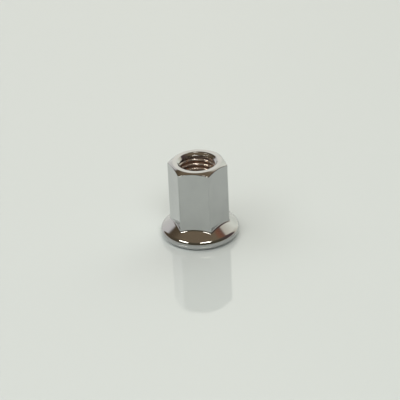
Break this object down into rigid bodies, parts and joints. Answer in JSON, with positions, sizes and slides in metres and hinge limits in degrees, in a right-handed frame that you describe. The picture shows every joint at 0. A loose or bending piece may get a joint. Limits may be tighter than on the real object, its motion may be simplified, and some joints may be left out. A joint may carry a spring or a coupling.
{
  "type": "exhaust nut",
  "caption": "Tall hexagon nut with a round coned flange and a countersunk threaded bore, chromium plated, which clamps an exhaust pipe's flange to a stud.",
  "frame": {"origin": "centre of the seat face, on the bore's axis", "axes": "+Z along the bore, from the seat to the open top face; a pair of wrench flats is square to Y"},
  "size_m": [0.0194, 0.0194, 0.02],
  "materials": {
    "chrome_plating": "bright chromium plating over steel, mirror smooth, with softly rolled edges"
  },
  "bodies": {
    "root": {"exhaust_nut": "chrome_plating"}
  },
  "joints": []
}
